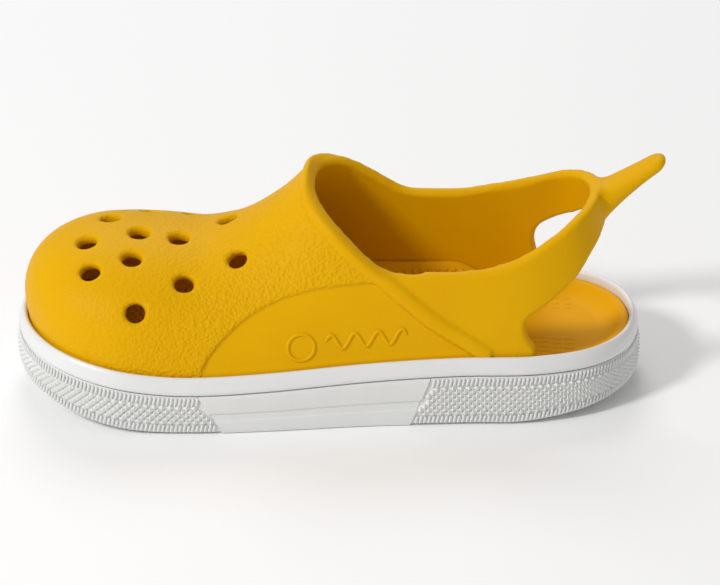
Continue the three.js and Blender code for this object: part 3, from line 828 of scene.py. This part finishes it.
def rib_shape(tree, given):
    """Upright bar with a rounded face and rounded ends, lying across the guide's direction."""
    half = add_node(tree, "ShaderNodeMath", {"operation": "MULTIPLY"}, {0: given.outputs["Length"], 1: 0.5})
    back = add_node(tree, "ShaderNodeMath", {"operation": "MULTIPLY"}, {0: given.outputs["Length"], 1: -0.5})
    start = add_node(tree, "ShaderNodeCombineXYZ", None, {"Y": back.outputs[0]})
    end = add_node(tree, "ShaderNodeCombineXYZ", None, {"Y": half.outputs[0]})
    line = add_node(tree, "GeometryNodeCurvePrimitiveLine", None, {
        "Start": start.outputs["Vector"], "End": end.outputs["Vector"]})
    fine = add_node(tree, "GeometryNodeResampleCurve", None, {"Curve": line.outputs["Curve"], "Count": 7})
    place = add_node(tree, "GeometryNodeSplineParameter")
    centred = add_node(tree, "ShaderNodeMath", {"operation": "MULTIPLY_ADD"}, {
        0: place.outputs["Factor"], 1: 2.0, 2: -1.0})
    square = add_node(tree, "ShaderNodeMath", {"operation": "POWER"}, {0: centred.outputs[0], 1: 6.0})
    fall = add_node(tree, "ShaderNodeMath", {"operation": "MULTIPLY_ADD"}, {
        0: square.outputs[0], 1: -0.65, 2: 1.0})
    tapered = add_node(tree, "GeometryNodeSetCurveRadius", None, {
        "Curve": fine.outputs["Curve"], "Radius": fall.outputs[0]})
    ring = add_node(tree, "GeometryNodeCurvePrimitiveCircle", {"mode": "RADIUS"}, {
        "Resolution": 8, "Radius": given.outputs["Radius"]})
    bar = add_node(tree, "GeometryNodeCurveToMesh", None, {
        "Curve": tapered.outputs["Curve"], "Profile Curve": ring.outputs["Curve"], "Scale": fall.outputs[0],
        "Fill Caps": True})
    return bar.outputs["Mesh"]


def nub_shape(tree, given):
    """Ball flattened to a low massage nub."""
    ball = add_node(tree, "GeometryNodeMeshIcoSphere", None, {
        "Radius": given.outputs["Radius"], "Subdivisions": 2})
    share = add_node(tree, "ShaderNodeMath", {"operation": "DIVIDE"}, {
        0: given.outputs["Height"], 1: given.outputs["Radius"]})
    squat = add_node(tree, "ShaderNodeCombineXYZ", None, {"X": 1.0, "Y": 1.0, "Z": share.outputs[0]})
    flat = add_node(tree, "GeometryNodeTransform", None, {
        "Geometry": ball.outputs["Mesh"], "Scale": squat.outputs["Vector"]})
    return flat.outputs["Geometry"]


def studded(name, tree, sizes, points, outward, sideways, material):
    """Plain mesh of one small shape for each guide point."""
    mesh = bpy.data.meshes.new(name)
    mesh.from_pydata((np.asarray(points) * MM).tolist(), [], [])
    for label, vectors in (("outward", outward), ("sideways", sideways)):
        attribute = mesh.attributes.new(label, "FLOAT_VECTOR", "POINT")
        attribute.data.foreach_set("vector", np.asarray(vectors, np.float32).ravel())
    obj = new_object(name, mesh)
    modifier = obj.modifiers.new("studs", "NODES")
    modifier.node_group = tree
    for item in tree.interface.items_tree:
        if item.in_out == "INPUT" and item.name in sizes:
            modifier[item.identifier] = sizes[item.name] * MM
        if item.in_out == "INPUT" and item.name == "Material":
            modifier[item.identifier] = material
    return new_object(name, bare_copy(obj, name))


def face_guides(end, at_heel, share, pitch, shift, inset):
    """Evenly spaced points on a bumper's face at a height share, with their directions."""
    curve = bumper_frame(end, at_heel, share, 1500)
    reach = reach_along(curve)
    middle = reach[-1] / 2
    count = int((middle - 0.55 * pitch) / pitch)
    spots = middle + (np.arange(-count, count + 1) + shift) * pitch
    spots = spots[(spots > 0.4 * pitch) & (spots < reach[-1] - 0.4 * pitch)]
    place = at_reach(curve, reach, spots)
    inward = outline_normals(place)
    low, high = bumper_heights(place[:, 0])
    return np.column_stack([place + inward * inset, low + (high - low) * share]), with_zero(-inward)


def bumper_texture(name, end, at_heel, material):
    """Rib bands above and below, and rows of diamond studs between them."""
    made = []
    for label, height, from_top in (("top", TOP_RIB_HEIGHT, True), ("bottom", BOTTOM_RIB_HEIGHT, False)):
        share = 0.5 * height / BUMPER_HEIGHT + 0.01
        points, outward = face_guides(end, at_heel, 1 - share if from_top else share, RIB_PITCH, 0.0, 0.6)
        low, high = bumper_heights(points[:, 0])
        points[:, 2] = high - height / 2 - 0.1 if from_top else low + height / 2 + 0.05
        upright = np.array((0, 0, 1)) + RIB_LEAN * np.cross((0, 0, 1), outward)
        upright /= np.linalg.norm(upright, axis=1)[:, None]
        made.append(studded(name + "_" + label, rib_tree, {"Radius": RIB_RADIUS, "Length": height - 0.2},
                            points, outward, np.cross(upright, outward), material))
    points, outward = [], []
    low, high = bumper_heights(np.array((end["top"],)))
    rows = int(round((high[0] - low[0] - TOP_RIB_HEIGHT - BOTTOM_RIB_HEIGHT) / (DIAMOND_PITCH / 2)))
    for row in range(rows):
        place, out = face_guides(end, at_heel, 0.0, DIAMOND_PITCH, 0.5 * (row % 2), 0.9)
        low, high = bumper_heights(place[:, 0])
        bottom, top = low + BOTTOM_RIB_HEIGHT + 0.1, high - TOP_RIB_HEIGHT - 0.1
        place[:, 2] = bottom + (top - bottom) * (row + 0.5) / rows
        keep = inside_ends(place, end, at_heel)
        points.append(place[keep])
        outward.append(out[keep])
    points, outward = np.concatenate(points), np.concatenate(outward)
    made.append(studded(name + "_studs", diamond_tree, {"Radius": DIAMOND_PITCH / 2, "Height": DIAMOND_PROUD},
                        points, outward, np.cross((0, 0, 1), outward), material))
    return made


def inside_ends(points, end, at_heel):
    """Which points a stud fits round before the bumper's sloping ends."""
    low, high = bumper_heights(points[:, 0])
    edge = end_x(end, (points[:, 2] - low) / (high - low))
    gap = points[:, 0] - edge if at_heel else edge - points[:, 0]
    return gap > 0.4 * DIAMOND_PITCH


# ---- footbed ----

def arch_rise(x, y):
    """How far the footbed climbs the inner side under the arch of the foot."""
    return ARCH_HEIGHT * smooth_step(-42, 0, x) * (1 - smooth_step(34, 56, x)) * smooth_step(8, 24, y)


def footbed_mesh(inner_tree):
    """Dished pad inside the upper, which widens over the shelf behind the notches."""
    inside = UPPER_INSET + UPPER_WALL + CLEARANCE
    shelf = SHELF_DEPTH - CLEARANCE
    lip = 2.2  # drop below the rim line that the rolled edge is measured from
    outline = outline_ring(180)
    rear = STRAP_UNDER_EDGE[0, 0] + CLEARANCE
    behind = smooth_step(-0.9, 0.4, outline[:, 0] - rear - strap_lean(rear, outline[:, 1])[0])
    # rows of (inset behind the notches, drop below the rim line, same inset all round)
    rows = [(inside, CUP_DEPTH - CLEARANCE, True), (inside, shelf, True), (UPPER_INSET, shelf, False)]
    for out, drop in ((0.0, 0.7), (0.15, 0.3), (0.5, 0.05), (0.9, 0), (1.8, 0), (2.4, 0.15), (3.0, 0.5),
                      (3.9, 1.2), (5.0, 2.0), (6.4, 2.8), (8.2, 3.5), (10.0, 3.9)):
        rows.append((UPPER_INSET + out, lip + drop, False))
    rings = []
    for inset, drop, fixed in rows:
        narrow = inset if fixed else inside + (inset - UPPER_INSET) * 0.8
        ring = inset_ring(outline, narrow + (inset - narrow) * behind)
        rings.append(np.column_stack([ring, rim_top(ring[:, 0]) - drop]))
    dish = rings[-1]
    facing = dish[(-np.arange(len(outline))) % len(outline)]
    for share in (0.12, 0.25, 0.4, 0.55, 0.7, 0.85):
        ring = dish * (1 - share) + 0.5 * (dish + facing) * share
        ring[:, 2] = rim_top(ring[:, 0]) - rows[-1][1]
        rings.append(ring)
    for ring in rings[3:]:
        ring[:, 2] += arch_rise(ring[:, 0], ring[:, 1])
    # keeps the raised arch off the upper's inner face
    for ring in rings[3:12]:
        for i in np.flatnonzero(arch_rise(ring[:, 0], ring[:, 1]) > 0.2):
            spot, normal, _, _ = inner_tree.find_nearest(ring[i])
            clear = (Vector(ring[i]) - spot).dot(normal)
            if clear > -CLEARANCE:
                ring[i, :2] -= (clear + CLEARANCE) * np.array(normal)[:2]
    return new_mesh("footbed_pad", *stack_rings(rings))


def mesh_tree(mesh):
    faces = [tuple(face.vertices) for face in mesh.polygons]
    return BVHTree.FromPolygons([vertex.co / MM for vertex in mesh.vertices], faces)


def footbed_texture(footbed, material):
    """Small beads over the forefoot and the arch, and short ridges at the front of the heel."""
    top = mesh_tree(footbed)
    beads, ridges = [], []
    for y in np.arange(-32, 34, BEAD_ROWS):
        for x in np.arange(-88, 52, 2.6) + (1.3 if round(y / BEAD_ROWS) % 2 else 0):
            spot, normal, _, _ = top.ray_cast(Vector((x, y, 100)), Vector((0, 0, -1)))
            if spot is not None and normal.z > 0.4 and spot.z < rim_top(x) - 3.2 + arch_rise(x, y):
                beads.append((spot - 0.35 * normal, normal))
    for y in np.arange(-24, 28, 3.1):
        for x in np.arange(56, 76, 4.0):
            spot, normal, _, _ = top.ray_cast(Vector((x, y + 0.8 * math.sin(x / 3), 100)), Vector((0, 0, -1)))
            if spot is not None and normal.z > 0.9 and abs(y - 6) > 9 and spot.z < rim_top(x) - 3.4:
                ridges.append((spot - 0.45 * normal, normal))
    made = []
    for name, tree, sizes, spots, sideways in (
            ("footbed_beads", nub_tree, {"Radius": 0.95, "Height": 0.85}, beads, (1.0, 0.0, 0.0)),
            ("footbed_ridges", rib_tree, {"Radius": 0.7, "Length": 4.6}, ridges, (0.0, 1.0, 0.0))):
        points, outward = (np.array([spot[k] for spot in spots]) for k in (0, 1))
        sideways = np.tile(sideways, (len(points), 1))
        made.append(studded(name, tree, sizes, points, outward, sideways, material))
    return made


# ---- plain raised ornament on the outer side ----

def raised_line(name, tree, path, radius, closed):
    """Rounded line laid on the outer wall and sunk in it to over half; path holds (x, z)."""
    centre, outward = [], []
    for x, z in path:
        spot, normal, _, _ = tree.ray_cast(Vector((x, -200, z)), Vector((0, 1, 0)))
        centre.append(np.array(spot) - 0.15 * radius * np.array(normal))
        outward.append(np.array(normal))
    centre, outward = np.array(centre), np.array(outward)
    size = np.full(len(centre), radius)
    if closed:
        ahead = np.roll(centre, -1, axis=0) - np.roll(centre, 1, axis=0)
    else:
        ahead = np.gradient(centre, axis=0)
        from_end = np.minimum(np.arange(len(centre)), np.arange(len(centre))[::-1])
        size = radius * np.sqrt(np.clip(from_end / 5, 0.05, 1))
    ahead /= np.linalg.norm(ahead, axis=1)[:, None]
    across = np.cross(ahead, outward)
    rows = [centre + size[:, None] * (math.cos(angle) * across + math.sin(angle) * outward)
            for angle in np.linspace(0, 2 * math.pi, 12, endpoint=False)]
    mesh = loft(name, np.stack(rows, axis=1), closed=closed)
    shade_smooth(mesh)
    return mesh


def side_ornament(tree):
    """A ring and a wavy line, raised on the outer wall."""
    turn = np.linspace(0, 2 * math.pi, 72, endpoint=False)
    ring = np.column_stack([-13.6 + 4.2 * np.cos(turn), 27 + 4.2 * np.sin(turn)])
    run = np.linspace(0, 1, 150)
    wave = np.column_stack([-6 + 26 * run, 28.2 + 1.6 * run + 2.3 * np.sin(2 * math.pi * 3.5 * run)])
    return [raised_line("ornament_ring", tree, ring, ORNAMENT_RADIUS, True),
            raised_line("ornament_wave", tree, wave, ORNAMENT_RADIUS, False)]


# ---- materials ----

def linear(code):
    """sRGB hex to linear RGBA."""
    values = [int(code[i:i + 2], 16) / 255 for i in (1, 3, 5)]
    return (*[v / 12.92 if v <= 0.04045 else ((v + 0.055) / 1.055) ** 2.4 for v in values], 1.0)


def new_material(name):
    material = bpy.data.materials.new(name)
    material.use_nodes = True
    tree = material.node_tree
    return material, tree, tree.nodes["Principled BSDF"]


def drifting_colour(tree, place, scale, colours):
    """Colour that drifts softly between two close shades, as mixed foam and rubber do."""
    cloud = add_node(tree, "ShaderNodeTexNoise", None, {"Vector": place, "Scale": scale, "Detail": 3.0})
    mix = add_node(tree, "ShaderNodeMix", {"data_type": "RGBA"}, {
        "Factor": cloud.outputs[0], 6: linear(colours[0]), 7: linear(colours[1])})
    return mix.outputs[2]


def eva_material(name, colours, roughness, grain_depth):
    """Closed-cell EVA foam from a textured mould: even colour, soft satin sheen, skin-like pebble grain."""
    material, tree, surface = new_material(name)
    place = add_node(tree, "ShaderNodeTexCoord").outputs["Object"]
    warp = add_node(tree, "ShaderNodeTexNoise", None, {"Vector": place, "Scale": 420.0, "Detail": 2.0})
    shifted = add_node(tree, "ShaderNodeVectorMath", {"operation": "MULTIPLY_ADD"}, {
        0: warp.outputs["Color"], 1: (0.0011, 0.0011, 0.0011), 2: place})
    # pebbles of about 1.1 mm
    pebble = add_node(tree, "ShaderNodeTexVoronoi", {"feature": "SMOOTH_F1"}, {
        "Vector": shifted.outputs[0], "Scale": 900.0, "Smoothness": 0.6})
    pores = add_node(tree, "ShaderNodeTexNoise", None, {"Vector": place, "Scale": 1900.0, "Detail": 2.0})
    mask = add_node(tree, "ShaderNodeAttribute", {"attribute_name": "grain"})
    masked = add_node(tree, "ShaderNodeMath", {"operation": "MULTIPLY"}, {
        0: pebble.outputs["Distance"], 1: mask.outputs["Fac"]})
    fine = add_node(tree, "ShaderNodeMath", {"operation": "MULTIPLY_ADD"}, {
        0: pores.outputs[0], 1: 0.08, 2: masked.outputs[0]})
    bump = add_node(tree, "ShaderNodeBump", None, {
        "Strength": 1.0, "Distance": grain_depth * MM, "Height": fine.outputs[0]})
    set_inputs(tree, surface, {
        "Base Color": drifting_colour(tree, place, 45.0, colours), "Roughness": roughness, "IOR": 1.48,
        "Specular IOR Level": 0.08, "Normal": bump.outputs["Normal"]})
    return material


def rubber_material(name, colours, roughness):
    """White moulded rubber: satin, with a faint uneven mould skin."""
    material, tree, surface = new_material(name)
    place = add_node(tree, "ShaderNodeTexCoord").outputs["Object"]
    skin = add_node(tree, "ShaderNodeTexNoise", None, {"Vector": place, "Scale": 900.0, "Detail": 2.0})
    bump = add_node(tree, "ShaderNodeBump", None, {
        "Strength": 1.0, "Distance": 0.02 * MM, "Height": skin.outputs[0]})
    set_inputs(tree, surface, {
        "Base Color": drifting_colour(tree, place, 60.0, colours), "Roughness": roughness, "IOR": 1.5,
        "Normal": bump.outputs["Normal"]})
    return material


# ---- building the shoe ----

def place_piece(obj, material, body, nodes=()):
    if material is not None:
        obj.data.materials.clear()
        obj.data.materials.append(material)
    if nodes:
        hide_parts(*nodes)
    if body is not None:
        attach(obj, body)
    return obj


eva_skin = eva_material("moulded_eva_foam_yellow", ("#E1A700", "#E7AF00"), 0.48, 0.42)
footbed_foam = eva_material("moulded_eva_footbed_yellow", ("#E2A400", "#E9AC00"), 0.55, 0.1)
rim_rubber = rubber_material("smooth_white_rubber", ("#E9E9E8", "#E4E4E2"), 0.4)
sole_rubber = rubber_material("moulded_white_rubber", ("#E6E6E4", "#DFDFDC"), 0.5)

rib_tree = stud_tree("upright_ribs", {"Radius": 0.0005, "Length": 0.003}, rib_shape)
diamond_tree = stud_tree("diamond_studs", {"Radius": 0.0012, "Height": 0.0007}, diamond_shape)
nub_tree = stud_tree("massage_nubs", {"Radius": 0.001, "Height": 0.0005}, nub_shape)

sections, outer_body, inner_body = upper_bodies()
outer_tree = BVHTree.FromPolygons(outer_body[0].tolist(), outer_body[1])
inner_tree = BVHTree.FromPolygons(inner_body[0].tolist(), inner_body[1])
upper = new_object("moulded_upper", upper_mesh(sections, outer_body, inner_body, outer_tree, inner_tree))
place_piece(upper, eva_skin, None, ("upper", "heel_strap"))
# Direction square to the plane through both of the strap's notches and the tops of its two ends, the way the
# strap would bend; it is worked out here and nothing uses it
hinge = np.array((NOTCH_LEAN[0], 1, NOTCH_LEAN[1]))
bend = np.cross(hinge, (SPLIT_TOP[0] - NOTCH[0], 0, SPLIT_TOP[1] - NOTCH[1]))
bend /= np.linalg.norm(bend)
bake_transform(upper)

rim = new_object("rim_midsole", rim_mesh())
shade_smooth(rim.data, 50)
place_piece(rim, rim_rubber, "shoe", ("midsole",))

outsole = new_object("outsole_shell", outsole_mesh())
place_piece(outsole, sole_rubber, "shoe", ("outsole",))

for band, end, at_heel, node in (("toe_bumper_band", TOE_END, False, "toe_bumper"),
                                 ("heel_bumper_band", HEEL_END, True, "heel_bumper")):
    strip = new_object(band, bumper_mesh(band, end, at_heel))
    place_piece(strip, sole_rubber, "shoe", (node,))
    for detail in bumper_texture(band, end, at_heel, sole_rubber):
        place_piece(detail, None, "shoe")

footbed = new_object("footbed_pad", footbed_mesh(inner_tree))
shade_smooth(footbed.data)
place_piece(footbed, footbed_foam, "shoe", ("footbed",))
for detail in footbed_texture(footbed.data, footbed_foam):
    place_piece(detail, None, "shoe")

for mesh in side_ornament(mesh_tree(upper.data)):
    place_piece(new_object(mesh.name, mesh), eva_skin, "shoe")


# ---- stage, light and camera ----

def pale_floor():
    material, tree, surface = new_material("pale_floor")
    set_inputs(tree, surface, {"Base Color": linear("#FFFFFF"), "Roughness": 0.9})
    corners = [(x * 2000, y * 2000, -0.05) for x, y in ((-1, -1), (1, -1), (1, 1), (-1, 1))]
    mesh = new_mesh("floor", corners, [(0, 1, 2, 3)])
    mesh.materials.append(material)
    new_object("floor", mesh)


def soft_light(name, place, aim, size, power):
    data = bpy.data.lights.new(name, "AREA")
    data.shape = "DISK"
    data.size = size
    data.energy = power
    light = new_object(name, data)
    light.location = place
    light.rotation_euler = (Vector(aim) - Vector(place)).to_track_quat("-Z", "Y").to_euler()


def studio():
    world = bpy.data.worlds.new("studio")
    world.use_nodes = True
    tree = world.node_tree
    set_inputs(tree, tree.nodes["Background"], {"Color": (1, 1, 1, 1), "Strength": 0.44})
    bpy.context.scene.world = world
    soft_light("key", (-0.95, -0.75, 1.0), (0, 0, 0.03), 0.3, 12.5)
    soft_light("back", (-0.1, 1.1, 1.1), (0, 0, 0.03), 0.8, 6)


def look():
    """Camera 1.5 m from the shoe, square to its outer side and 27 degrees above level."""
    elevation = math.radians(27)
    aim = Vector((0.00497, 0, 0.03055))
    data = bpy.data.cameras.new("camera")
    data.lens = 234
    data.sensor_width = 36
    data.clip_end = 20
    camera = new_object("camera", data)
    camera.location = aim + 1.5 * Vector((0, -math.cos(elevation), math.sin(elevation)))
    camera.rotation_euler = Euler((math.pi / 2 - elevation, 0, 0))
    bpy.context.scene.camera = camera
    bpy.context.scene.view_settings.view_transform = "Standard"


pale_floor()
studio()
look()
